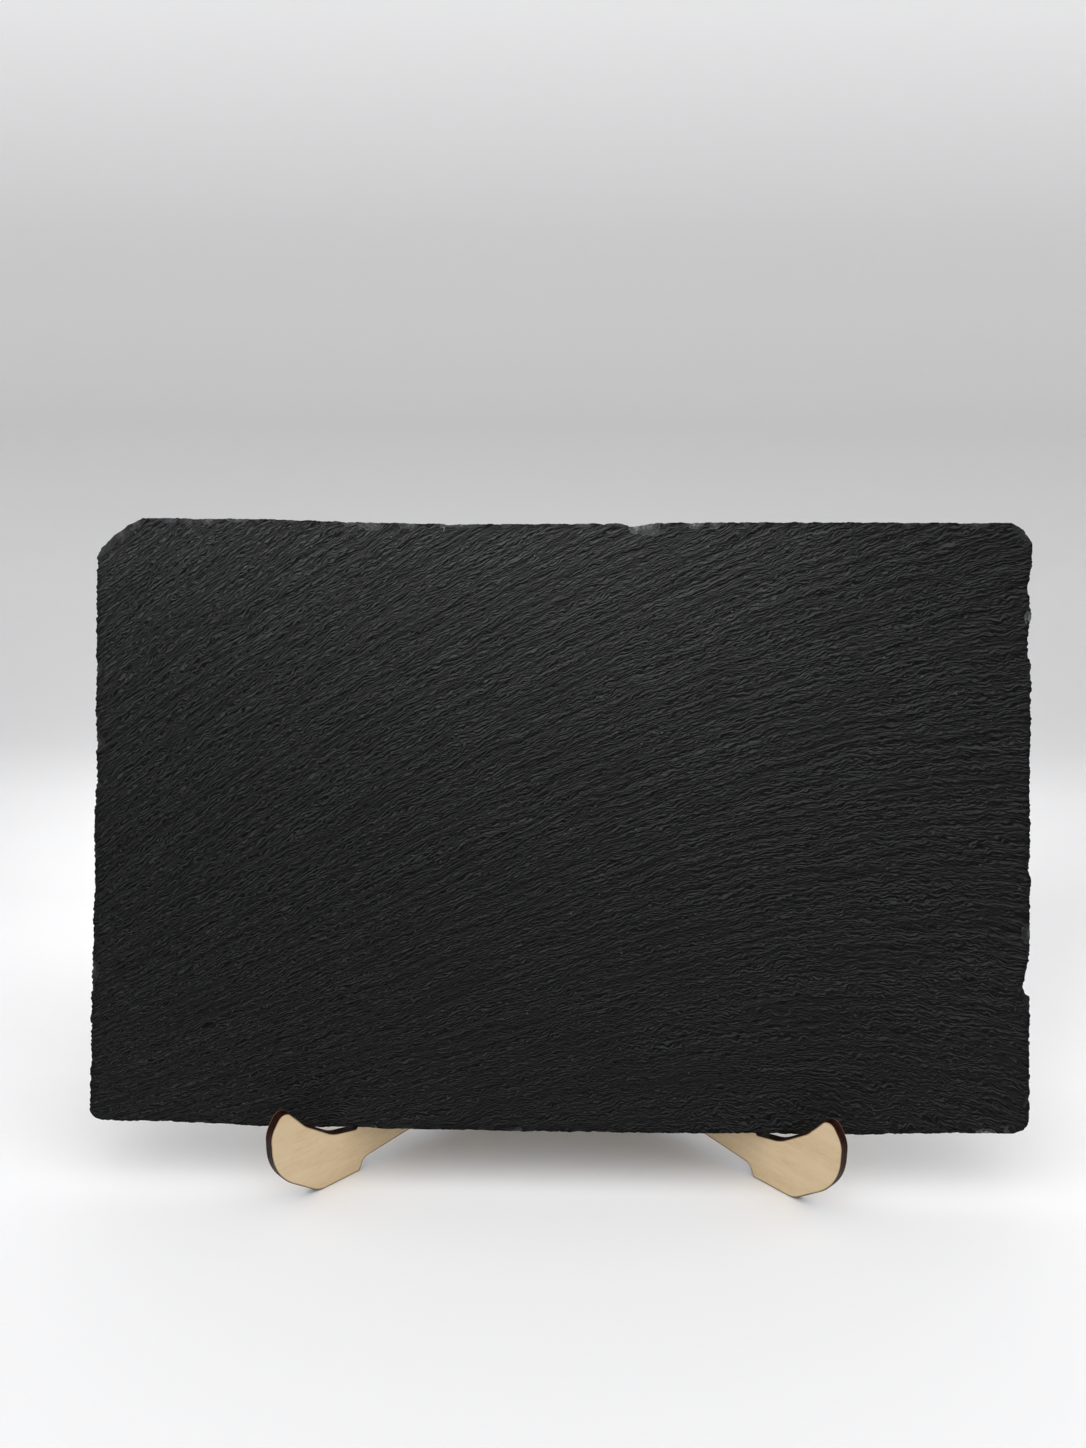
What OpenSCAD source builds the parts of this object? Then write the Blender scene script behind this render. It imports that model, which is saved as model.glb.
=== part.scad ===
// Slate serving board standing in a slot-together plywood easel.
// Lengths are in mm. X runs along the board, Y from front to back, Z up from the table.
// The origin is on the table, in the middle of the object.

/* [Slate] */
// Width of the slate, along its bottom edge
slate_w = 301.5; // [240:0.5:360]
// Height of the slate above its seat, measured on its own slope
slate_h = 197.2; // [150:0.1:240]
// Thickness of the slate
slate_t = 5; // [4:0.1:8]
// Angle that the slate leans back from upright, degrees
lean = 17; // [10:0.5:24]

/* [Slate edge] */
// Thickness of the back layer, which has the widest outline
back_layer_t = 2.2; // [1:0.1:2.5]
// Thickness of the front layer, which has the smallest outline
front_layer_t = 1.2; // [0.5:0.1:1.4]
// How far the sides and the top of each layer step in from the layer behind it
layer_step = 0.15; // [0.1:0.05:1]
// How far the foot of each layer steps up from the layer behind it
foot_step = 0.55; // [0.1:0.05:0.8]
// Deepest random chip in the edge of any one layer
chip_depth = 0.15; // [0.05:0.05:0.8]
// Distance between the points of a chipped edge
chip_pitch = 3; // [2:0.5:8]
// How far a long edge wanders from straight
wander = 0.2; // [0:0.1:1]
// Width of the broken top left corner
clip_left_w = 15; // [6:0.5:20]
// Height of the broken top left corner
clip_left_h = 12; // [6:0.5:20]
// Size of the broken top right corner
clip_right = 7; // [3:0.5:15]
// Size of the worn bottom left corner
foot_corner_left = 4.5; // [4:0.5:10]
// Size of the worn bottom right corner
foot_corner_right = 5.5; // [4:0.5:10]

/* [Foot pads] */
// Diameter of a stick-on foot pad
pad_d = 10; // [6:0.5:16]
// Thickness of a foot pad
pad_t = 2.5; // [1:0.1:4]
// Width of the bevel round a pad's outer face
pad_bevel = 0.6; // [0.2:0.1:0.9]
// Distance from the slate's edges to a pad's middle
pad_inset = 24; // [16:1:40]

/* [Easel sheet] */
// Thickness of the plywood
sheet_t = 3; // [2.5:0.1:4]
// Angle between a leg and the slate's width, seen from above, degrees
splay = 45; // [42:1:48]
// Distance between the two legs' front ends
stance = 175; // [150:1:200]
// Length of a leg from its front end to its tail
leg_l = 172; // [160:1:190]

/* [Hook and trough] */
// Distance from the front end to the hook's peak
hook_u = 5.2; // [4:0.1:7]
// Height where the hook's two sides would meet
hook_h = 34.8; // [32:0.1:40]
// Radius of the hook's round peak
hook_r = 3; // [2:0.1:4]
// Height where the front starts to slope up to the hook
brow_z = 27.4; // [26:0.1:29]
// Radius where the front starts to slope up to the hook
brow_r = 9; // [4:0.5:10]
// Distance from the front end to the bend below the hook
bend_u = 13; // [12:0.1:15]
// Height of the bend below the hook
bend_z = 25.3; // [23:0.1:27]
// Radius of the bend below the hook
bend_r = 8; // [3:0.5:9]
// Height of the trough's low inside corner above the table
trough_z = 15.9; // [14:0.1:18]
// Distance from the front end to the start of the trough's floor
trough_u = 23; // [22:0.1:26]
// Radius where the hook's slope runs into the trough's floor
trough_r = 11; // [4:0.5:14]
// Radius of the inside corner at the back of the trough
corner_r = 0.5; // [0.3:0.1:0.6]
// Room in front of the slate's foot, before the floor starts to rise
trough_play = 1.6; // [1:0.1:4]

/* [Front foot] */
// Radius of the leg's round front
front_r = 18; // [8:0.5:20]
// Height where the front would meet the sloping underside
front_z = 12.6; // [11:0.1:15]
// Distance from the front end to the foot's toe
toe_u = 16.6; // [14:0.1:19]
// Radius of the toe
toe_r = 8; // [2:0.5:10]
// Distance from the front end to the foot's heel
heel_u = 32.6; // [30:0.1:40]
// How far the heel's rise leans back
heel_run = 2; // [0.5:0.1:4]
// Height of the heel
heel_z = 4.1; // [3:0.1:6]
// Radius at the top of the heel
heel_r = 3; // [1:0.5:4]

/* [Arch, upright and tail] */
// Height of the arch between the feet
arch_z = 10; // [7:0.1:13]
// Radius of the arch's crown
arch_r = 300; // [150:10:340]
// Height of the upright's tip
upright_h = 122; // [95:1:150]
// Width of the upright's tip
tip_w = 13; // [12:0.5:18]
// Radius of the tip's corners
tip_r = 6; // [2:0.5:6]
// Distance from the front end to the shoulder behind the upright
shoulder_u = 80; // [74:1:90]
// Height of the shoulder behind the upright
shoulder_z = 52; // [44:1:62]
// Radius of the shoulder
shoulder_r = 30; // [10:1:36]
// Height of the tail's top corner
tail_h = 36; // [34:1:44]
// Radius of the tail's top corner
tail_r = 16; // [5:0.5:16]
// Radius of the tail's round end
tail_end_r = 14; // [5:0.5:16]
// Length of the rear foot along the table
rear_foot_l = 15; // [10:0.5:22]

/* [Slots] */
// Height above the table where the two slots meet
lap_z = 26.5; // [22:0.5:32]
// Total side clearance of the other leg in a slot
slot_clear = 0.3; // [0.1:0.05:0.6]
// Clearance between the ends of the two slots
lap_clear = 0.3; // [0.1:0.05:0.8]

/* [Seating] */
// Clearance under the slate's foot
seat_gap = 0.2; // [0.1:0.05:0.4]
// Clearance between the slate's back and the uprights
rest_gap = 0.2; // [0.1:0.05:0.4]

/* [Hidden] */

SLATE_COLOUR = [0.20, 0.21, 0.22];
WOOD_COLOUR = [0.82, 0.72, 0.56];
PAD_COLOUR = [0.12, 0.12, 0.12];

// Largest turn between two points of a rounded corner, degrees
ARC_STEP = 5;
// Shortest distance between two points of a rounded corner
ARC_CHORD = 0.45;
// Largest share of a straight that the arcs at its two ends may take up
STRAIGHT_SHARE = 0.95;
// Sides of a round pad
PAD_SIDES = 64;
// Overshoot of a cut past the face that it opens
CUT = 10;
// How deep one slate layer reaches into the layer behind it
LAYER_BITE = 0.4;

// Order of the slate's four edges, anticlockwise as seen from the front
BOTTOM = 0;
RIGHT = 1;
TOP = 2;
LEFT = 3;
// Seed of the random chips
CHIP_SEED = 41;
// Points on each corner of the slate
CORNER_POINTS = 5;
// Power of the corner curve: 2 is a round corner, 1 is a straight cut
BROKEN_POWER = 1.4;
WORN_POWER = 2;
// Bows and larger chips: edge, share of the way along it, width, depth (below 0 it stands out), power.
// A power of 2 is a bow, and a higher one has a flat floor and steep ends.
NOTCHES = [
    [BOTTOM, 0, 100, 1.2, 2],
    [BOTTOM, 0.5, 124, -0.7, 6],
    [BOTTOM, 1, 100, 1.2, 2],
    [RIGHT, 0.255, 12, 1.2, 2],
    [RIGHT, 0.83, 13, 1.3, 4],
    [RIGHT, 0.923, 12, 1.2, 4],
    [TOP, 0.432, 8, 1.1, 2],
    [TOP, 0.615, 150, 1.0, 2],
    [LEFT, 0.36, 28, 0.5, 2],
    [LEFT, 0.585, 20, 0.45, 2]
];

// Where the legs stand, from above. A leg's own length runs along u.
leg_x = stance / 2;
leg_y = -(leg_l * sin(splay) + sheet_t * cos(splay)) / 2;
cross_u = (leg_x + sheet_t / 2 * sin(splay)) / cos(splay);
slot_w = sheet_t * (1 + abs(cos(2 * splay))) / sin(2 * splay) + slot_clear;

// The slope of the uprights in the leg's own plane, and where they start.
// The trough's floor is square to the slate.
rest_run = tan(lean) / sin(splay);
floor_fall = tan(lean) * sin(splay);
rest_u = trough_u + (slate_t * cos(lean) + trough_play) / sin(splay);
tip_u = rest_u + (upright_h - trough_z) * rest_run;

// Where the slate's lower back edge sits. The far edge of the trough's floor is the higher one.
floor_lift = sheet_t / tan(splay) * floor_fall;
slate_z = trough_z + floor_lift + seat_gap;
slate_y = leg_y + rest_u * sin(splay) + (slate_z - trough_z) * tan(lean) - rest_gap / cos(lean);

tail_toe_u = leg_l - toe_u;
rear_heel_u = tail_toe_u - rear_foot_l;
arch_u = (heel_u + rear_heel_u) / 2;

// A leg's corners in its own plane: distance along the leg, height, radius
LEG_CORNERS = [
    [toe_u, 0, toe_r],
    [heel_u, 0, 0],
    [heel_u + heel_run, heel_z, heel_r],
    [arch_u, arch_z, arch_r],
    [rear_heel_u - heel_run, heel_z, heel_r],
    [rear_heel_u, 0, 0],
    [tail_toe_u, 0, toe_r],
    [leg_l, front_z, tail_end_r],
    [leg_l, tail_h, tail_r],
    [shoulder_u, shoulder_z, shoulder_r],
    [tip_u + tip_w, upright_h, tip_r],
    [tip_u, upright_h, tip_r],
    [rest_u, trough_z, corner_r],
    [trough_u, trough_z + (rest_u - trough_u) * floor_fall, trough_r],
    [bend_u, bend_z, bend_r],
    [hook_u, hook_h, hook_r],
    [0, brow_z, brow_r],
    [0, front_z, front_r]
];

function flat(v) = [v[0], v[1]];
function unit(v) = v / norm(v);
function turned(v, a) = [v[0] * cos(a) - v[1] * sin(a), v[0] * sin(a) + v[1] * cos(a)];

// Half the inside angle of the corner at b, between its neighbours a and c
function half_angle(a, b, c) = acos(unit(a - b) * unit(c - b)) / 2;

// Points of the arc that rounds the corner at b, between its neighbours a and c
function rounded(a, b, c, r) =
    r == 0 ? [b] :
    let (
        half = half_angle(a, b, c),
        middle = b + unit(unit(a - b) + unit(c - b)) * r / sin(half),
        start = b + unit(a - b) * r / tan(half),
        turn = sign(cross(b - a, c - b)) * (180 - 2 * half),
        arc_l = r * abs(turn) * PI / 180,
        steps = max(2, min(ceil(abs(turn) / ARC_STEP), floor(arc_l / ARC_CHORD)))
    )
    [for (k = [0 : steps]) middle + turned(start - middle, turn * k / steps)];

// Corner i of a list that runs round, and the length of its straight that its arc takes up
function corner_of(corners, i) = flat(corners[(i + len(corners)) % len(corners)]);
function taken(corners, i) =
    let (n = len(corners))
    corners[(i + n) % n][2] / tan(half_angle(
        corner_of(corners, i - 1),
        corner_of(corners, i),
        corner_of(corners, i + 1)
    ));

// Share of the radii at both ends of the straight after corner i that the straight has room for
function room(corners, i) =
    let (
        straight = norm(corner_of(corners, i + 1) - corner_of(corners, i)),
        wanted = taken(corners, i) + taken(corners, i + 1)
    )
    min(1, straight * STRAIGHT_SHARE / max(wanted, ARC_CHORD));

// Outline through a list of corners, each with its own radius
function outline(corners) = [
    for (i = [0 : len(corners) - 1]) each rounded(
        corner_of(corners, i - 1),
        corner_of(corners, i),
        corner_of(corners, i + 1),
        corners[i][2] * min(room(corners, i - 1), room(corners, i))
    )
];

// Size of each corner of the slate, at the end of the edge of the same number: width, height, power
CORNER_SIZES = [
    [foot_corner_right, foot_corner_right, WORN_POWER],
    [clip_right, clip_right, BROKEN_POWER],
    [clip_left_w, clip_left_h, BROKEN_POWER],
    [foot_corner_left, foot_corner_left, WORN_POWER]
];
// Middle of each corner's curve, and the direction in which its edge runs
CORNER_MIDDLES = [
    [slate_w / 2 - foot_corner_right, foot_corner_right],
    [slate_w / 2 - clip_right, slate_h - clip_right],
    [clip_left_w - slate_w / 2, slate_h - clip_left_h],
    [foot_corner_left - slate_w / 2, foot_corner_left]
];
EDGE_ANGLES = [0, 90, 180, 270];

// Start and end of a straight edge of the slate, before chipping
function out_of(side) = turned([0, -1], EDGE_ANGLES[side]);
function reach(side, way) = abs(CORNER_SIZES[side][0] * way[0]) + abs(CORNER_SIZES[side][1] * way[1]);
function edge_end(side) = CORNER_MIDDLES[side] + out_of(side) * reach(side, out_of(side));
function edge_start(side) =
    let (before = (side + 3) % 4)
    CORNER_MIDDLES[before] + out_of(side) * reach(before, out_of(side));

// How far the bows and larger chips cut into an edge, at a distance along it
function total(v) = v * [for (i = v) 1];
function notch_at(side, along, length) = total([
    for (n = NOTCHES) if (n[0] == side)
        let (off = abs(along - n[1] * length) / (n[2] / 2))
        n[3] * max(0, 1 - pow(off, n[4]))
]);

// Random chips of one edge of one layer, and of all the layers behind it
function chips(side, layer, count) = rands(0, chip_depth, count, CHIP_SEED + side + 10 * layer);
function all_chips(side, layer, count) =
    layer == 0 ? chips(side, 0, count) : chips(side, layer, count) + all_chips(side, layer - 1, count);

// Points of one chipped edge of one layer
function chipped_edge(side, layer) =
    let (
        start = edge_start(side),
        end = edge_end(side),
        length = norm(end - start),
        step_in = side == BOTTOM ? foot_step : layer_step,
        steps = ceil(length / chip_pitch),
        chip = all_chips(side, layer, steps + 1)
    )
    [for (i = [0 : steps])
        let (
            along = length * i / steps,
            ease = sin(180 * i / steps),
            sway = wander * (1 - cos(360 * (side + 1) * i / steps + 90 * side)) / 2,
            inset = layer * step_in + ease * (chip[i] + sway) + notch_at(side, along, length)
        )
        start + (end - start) * i / steps - out_of(side) * inset];

// Points of the corner from the end of an edge to the start of the next, without those two
function broken_corner(side, layer, from, to) =
    let (
        ahead = turned([1, 0], EDGE_ANGLES[side]),
        next = turned(ahead, 90),
        wide = (to - from) * ahead,
        high = (to - from) * next,
        middle = from + high * next,
        power = 2 / CORNER_SIZES[side][2],
        jag = all_chips(side + 4, layer, CORNER_POINTS)
    )
    [for (i = [1 : CORNER_POINTS])
        let (
            a = 90 * i / (CORNER_POINTS + 1),
            out = wide * pow(sin(a), power) * ahead - high * pow(cos(a), power) * next
        )
        middle + out - jag[i - 1] * unit(out)];

function slate_outline(layer) =
    let (edges = [for (side = [BOTTOM : LEFT]) chipped_edge(side, layer)])
    [for (side = [BOTTOM : LEFT]) each concat(
        edges[side],
        broken_corner(side, layer, edges[side][len(edges[side]) - 1], edges[(side + 1) % len(edges)][0])
    )];

// Puts what is drawn on the slate's back face in its place on the easel
module on_slate() {
    translate([0, slate_y, slate_z])
        rotate([90 - lean, 0, 0])
            children();
}

// One layer of the slate between two distances from its back face
module slate_layer(layer, from, to) {
    translate([0, 0, from])
        linear_extrude(height = to - from)
            polygon(slate_outline(layer));
}

module slate() {
    color(SLATE_COLOUR)
        on_slate()
            union() {
                slate_layer(0, 0, back_layer_t);
                slate_layer(1, back_layer_t - LAYER_BITE, slate_t - front_layer_t);
                slate_layer(2, slate_t - front_layer_t - LAYER_BITE, slate_t);
            }
}

// A round pad on the slate's back face, with its bevelled face away from the slate
module pad(side_x, at_top) {
    color(PAD_COLOUR)
        on_slate()
            translate([
                side_x * (slate_w / 2 - pad_inset),
                at_top ? slate_h - pad_inset : pad_inset,
                -pad_t
            ])
                union() {
                    cylinder(d1 = pad_d - 2 * pad_bevel, d2 = pad_d, h = pad_bevel, $fn = PAD_SIDES);
                    translate([0, 0, pad_bevel])
                        cylinder(d = pad_d, h = pad_t - pad_bevel, $fn = PAD_SIDES);
                }
}

module pad_top_left() {
    pad(-1, true);
}

module pad_top_right() {
    pad(1, true);
}

module pad_bottom_left() {
    pad(-1, false);
}

module pad_bottom_right() {
    pad(1, false);
}

// Stands a flat cut-out on the table as the left leg, with its front end at the left
module stand_leg() {
    translate([-leg_x, leg_y, 0])
        rotate([0, 0, splay])
            translate([0, sheet_t, 0])
                rotate([90, 0, 0])
                    linear_extrude(height = sheet_t)
                        children();
}

// The slot is open at the top, so that the other leg comes down into it
module left_leg() {
    color(WOOD_COLOUR)
        stand_leg()
            difference() {
                polygon(outline(LEG_CORNERS));
                translate([cross_u - slot_w / 2, lap_z - lap_clear / 2])
                    square([slot_w, upright_h]);
            }
}

// The slot is open at the bottom, and the leg comes down over the other one
module right_leg() {
    color(WOOD_COLOUR)
        mirror([1, 0, 0])
            stand_leg()
                difference() {
                    polygon(outline(LEG_CORNERS));
                    translate([cross_u - slot_w / 2, -CUT])
                        square([slot_w, lap_z + lap_clear / 2 + CUT]);
                }
}

slate();
left_leg();
right_leg();
pad_top_left();
pad_top_right();
pad_bottom_left();
pad_bottom_right();
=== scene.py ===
"""Dressed scene of a riven slate serving board that leans in a slot-together plywood easel.

Lengths in the classes are millimetres on the object, and become metres when a mesh is made.
A flat piece is worked in its own axes: along its length, up its height and out of its show face,
counted from the low corner of its CAD solid.
"""

import logging
import math
from dataclasses import dataclass
from enum import Enum

import bmesh
import bpy
import numpy as np
from mathutils import Matrix, Vector


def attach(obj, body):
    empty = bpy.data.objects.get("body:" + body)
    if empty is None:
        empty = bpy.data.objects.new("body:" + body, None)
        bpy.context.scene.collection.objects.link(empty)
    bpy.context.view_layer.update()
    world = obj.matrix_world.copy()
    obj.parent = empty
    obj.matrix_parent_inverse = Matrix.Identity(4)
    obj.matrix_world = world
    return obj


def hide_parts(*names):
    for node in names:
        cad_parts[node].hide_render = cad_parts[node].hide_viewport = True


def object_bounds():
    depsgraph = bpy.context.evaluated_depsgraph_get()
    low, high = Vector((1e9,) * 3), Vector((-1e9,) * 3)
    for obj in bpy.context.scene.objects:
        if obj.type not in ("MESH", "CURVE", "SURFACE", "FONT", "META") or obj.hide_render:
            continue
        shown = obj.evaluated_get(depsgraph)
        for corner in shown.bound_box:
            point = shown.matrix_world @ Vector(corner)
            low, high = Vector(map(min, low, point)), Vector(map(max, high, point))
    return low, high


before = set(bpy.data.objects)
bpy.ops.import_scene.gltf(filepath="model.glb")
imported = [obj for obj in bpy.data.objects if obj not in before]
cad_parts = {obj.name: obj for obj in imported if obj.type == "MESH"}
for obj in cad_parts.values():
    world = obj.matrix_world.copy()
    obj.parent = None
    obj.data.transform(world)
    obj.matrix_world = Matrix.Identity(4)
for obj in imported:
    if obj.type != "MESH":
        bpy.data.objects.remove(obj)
CAD_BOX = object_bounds()

log = logging.getLogger("slate_board")

MM = 0.001
WELD_DIGITS = 4
LEVEL_SLACK = 0.02
UV_MM = 100.0
NOISE_SPAN = (0.3, 0.7)

Array = np.ndarray
Pair = tuple[float, float]
Colour = tuple[float, float, float]
Stop = tuple[float, Colour]
Faces = list[tuple[int, ...]]
Material = bpy.types.Material
Piece = bpy.types.Object
Socket = bpy.types.NodeSocket
Value = Socket | float


class Edge(Enum):
    """Edges and cut corners of the slate: box corner as shares, way along and way inward."""

    BOTTOM = ((0.0, 0.0), (1.0, 0.0), (0.0, 1.0))
    RIGHT = ((1.0, 0.0), (0.0, 1.0), (-1.0, 0.0))
    TOP = ((0.0, 1.0), (1.0, 0.0), (0.0, -1.0))
    LEFT = ((0.0, 0.0), (0.0, 1.0), (1.0, 0.0))
    TOP_LEFT = ((0.0, 1.0), (0.7071, 0.7071), (0.7071, -0.7071))
    TOP_RIGHT = ((1.0, 1.0), (0.7071, -0.7071), (-0.7071, -0.7071))

    @property
    def ways(self) -> Array:
        """Gives the corner, the way along and the way inward, a row each."""
        return np.array(self.value)


SIDES = (Edge.BOTTOM, Edge.RIGHT, Edge.TOP, Edge.LEFT)


class GradientNoise:
    """Seeded gradient noise in the plane, from about -1 to 1."""

    SIZE = 512
    GAIN = 1.5

    def __init__(self, seed: int) -> None:
        """Draws the lattice.

        Args:
            seed: Number that fixes the draw.
        """
        draw = np.random.default_rng(seed)
        self.order = draw.permutation(self.SIZE)
        turn = draw.uniform(0.0, 2.0 * math.pi, self.SIZE)
        self.slope = np.stack([np.cos(turn), np.sin(turn)], axis=1)

    def at(self, x: Array, y: Array | float) -> Array:
        """Evaluates the noise.

        Args:
            x: First coordinate, in lattice cells.
            y: Second coordinate, in lattice cells.

        Returns:
            The noise at each point.
        """
        x, y = np.broadcast_arrays(np.asarray(x, float), np.asarray(y, float))
        column, row = np.floor(x).astype(int), np.floor(y).astype(int)
        fx, fy = x - column, y - row

        def corner(dx: int, dy: int) -> Array:
            """Gives the slope of one lattice corner times the way to it."""
            pick = self.order[(self.order[(column + dx) % self.SIZE] + row + dy) % self.SIZE]
            return self.slope[pick, 0] * (fx - dx) + self.slope[pick, 1] * (fy - dy)

        wx, wy = (f**3 * (f * (f * 6 - 15) + 10) for f in (fx, fy))
        low = corner(0, 0) * (1 - wx) + corner(1, 0) * wx
        high = corner(0, 1) * (1 - wx) + corner(1, 1) * wx
        return self.GAIN * (low * (1 - wy) + high * wy)


@dataclass(frozen=True)
class Swell:
    """Gradient noise of one size: its seed, its height, and its cell along and across."""

    seed: int
    height: float
    cell: Pair

    def at(self, along: Array, across: Array) -> Array:
        """Gives the height at places along and across."""
        return self.height * GradientNoise(self.seed).at(along / self.cell[0], across / self.cell[1])


def smooth(x: Array, start: float, end: float) -> Array:
    """Eases from 0, where x is at its start, to 1, where it is at its end."""
    share = np.clip((x - start) / (end - start), 0.0, 1.0)
    return share * share * (3.0 - 2.0 * share)


def run_along(path: Array) -> Array:
    """Measures the distance along a path to each of its points."""
    return np.concatenate([[0.0], np.cumsum(np.linalg.norm(np.diff(path, axis=0), axis=1))])


def cad_points(node: str) -> Array:
    """Reads the vertices of a CAD node, a row each, in millimetres."""
    return np.array([v.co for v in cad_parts[node].data.vertices], float) / MM


@dataclass(frozen=True)
class Sheet:
    """Axes of a flat piece, as rows along, up and out, with its low corner as origin."""

    origin: Array
    axes: Array
    size: Array

    @classmethod
    def of(cls, node: str) -> "Sheet":
        """Finds the axes of a flat CAD node from its broadest face that looks to the front.

        Args:
            node: Name of the node.

        Returns:
            The sheet's axes.
        """
        facing: dict[tuple[float, ...], Vector] = {}
        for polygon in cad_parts[node].data.polygons:
            if polygon.normal.y < 0:
                key = tuple(round(c, 2) for c in polygon.normal)
                facing[key] = facing.get(key, Vector()) + polygon.normal * polygon.area
        out = np.array(max(facing.values(), key=lambda area: area.length).normalized())
        along = np.cross((0.0, 0.0, 1.0), out)
        along /= np.linalg.norm(along)
        axes = np.stack([along, np.cross(out, along), out])
        local = cad_points(node) @ axes.T
        low = local.min(axis=0)
        return cls(low @ axes, axes, local.max(axis=0) - low)

    def local(self, points: Array) -> Array:
        """Turns points of the shared frame into the sheet's axes."""
        return (points - self.origin) @ self.axes.T

    def world(self, points: Array) -> Array:
        """Turns points in the sheet's axes into the shared frame."""
        return self.origin + points @ self.axes


def face_outline(node: str, sheet: Sheet, level: float) -> Array:
    """Traces the outline of a CAD node's flat face.

    Args:
        node: Name of the node.
        sheet: Axes of the node.
        level: Height of the face along the sheet's out axis.

    Returns:
        The outline's points (along, up), counter-clockwise as seen from the front.
    """
    rounded = np.round(sheet.local(cad_points(node)), WELD_DIGITS) + 0.0
    spots, spot = np.unique(rounded, axis=0, return_inverse=True)
    spot = spot.reshape(-1)
    on_level = np.abs(spots[:, 2] - level) < LEVEL_SLACK
    sides: set[tuple[int, int]] = set()
    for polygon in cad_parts[node].data.polygons:
        corners = [int(spot[v]) for v in polygon.vertices]
        if all(on_level[c] for c in corners):
            sides.update(zip(corners, corners[1:] + corners[:1]))
    follow = {a: b for a, b in sides if (b, a) not in sides}
    start = min(follow)
    chain = [start]
    while follow[chain[-1]] != start:
        chain.append(follow[chain[-1]])
    loop = spots[chain, :2]
    ahead = np.roll(loop, -1, axis=0)
    turned = np.sum(loop[:, 0] * ahead[:, 1] - loop[:, 1] * ahead[:, 0])
    return loop if turned > 0 else loop[::-1]


def spaced(path: Array, places: Array, weight: Pair) -> Array:
    """Picks points along a path.

    Args:
        path: Points of the path.
        places: Shares of its measure, from 0 to 1, at which to pick.
        weight: What a step along each axis counts in the measure.

    Returns:
        The picked points.
    """
    steps = np.abs(np.diff(path, axis=0)) @ np.array(weight)
    measure = np.concatenate([[0.0], np.cumsum(steps)])
    measure /= measure[-1]
    return np.stack([np.interp(places, measure, axis) for axis in path.T], axis=1)


def strip(upper: Array, lower: Array) -> Faces:
    """Lists the faces between two closed rings with as many vertices."""
    quads = np.stack([upper, lower, np.roll(lower, -1), np.roll(upper, -1)], axis=1)
    return [tuple(quad) for quad in quads.tolist()]


def make_object(name: str, points: Array, faces: Faces) -> Piece:
    """Makes a smooth-shaded mesh object from points in the shared frame.

    Args:
        name: Name of the piece.
        points: Vertices in millimetres.
        faces: Vertex numbers of each face.

    Returns:
        The object, linked to the scene.
    """
    mesh = bpy.data.meshes.new(name)
    mesh.from_pydata((points * MM).tolist(), [], faces)
    mesh.polygons.foreach_set("use_smooth", np.ones(len(mesh.polygons), bool))
    mesh.update()
    piece = bpy.data.objects.new(name, mesh)
    bpy.context.scene.collection.objects.link(piece)
    return piece


def set_uv(piece: Piece, layer: str, per_vertex: Array) -> None:
    """Adds a UV map whose value is given at each vertex.

    Args:
        piece: Object to add it to.
        layer: Name of the map.
        per_vertex: One (u, v) row per vertex, in millimetres.
    """
    mesh = piece.data
    corner = np.empty(len(mesh.loops), np.int32)
    mesh.loops.foreach_get("vertex_index", corner)
    uv = mesh.uv_layers.new(name=layer)
    uv.data.foreach_set("uv", (per_vertex[corner] / UV_MM).astype(np.float32).ravel())


def set_weight(piece: Piece, name: str, per_vertex: Array) -> None:
    """Adds a float attribute to the vertices of a piece."""
    weight = piece.data.attributes.new(name, "FLOAT", "POINT")
    weight.data.foreach_set("value", per_vertex.astype(np.float32))


def place(piece: Piece, sharp: float, body: str, node: str, slot: str) -> None:
    """Sharpens the edges of a finished piece and puts it on its body in place of its CAD node.

    Args:
        piece: The piece.
        sharp: Angle in degrees past which an edge is sharp.
        body: Body that it rides on.
        node: CAD node that it stands for.
        slot: Material slot of the record; not used.
    """
    piece.data.set_sharp_from_angle(angle=math.radians(sharp))
    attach(piece, body)
    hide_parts(node)
    log.info("%s: %d vertices on %s", piece.name, len(piece.data.vertices), body)


@dataclass(frozen=True)
class Weave:
    """Noise of a finish: cell along and across, octaves, their share and its own warp."""

    cell: Pair
    detail: float = 2.0
    rough: float = 0.5
    swirl: float = 0.0


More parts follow.
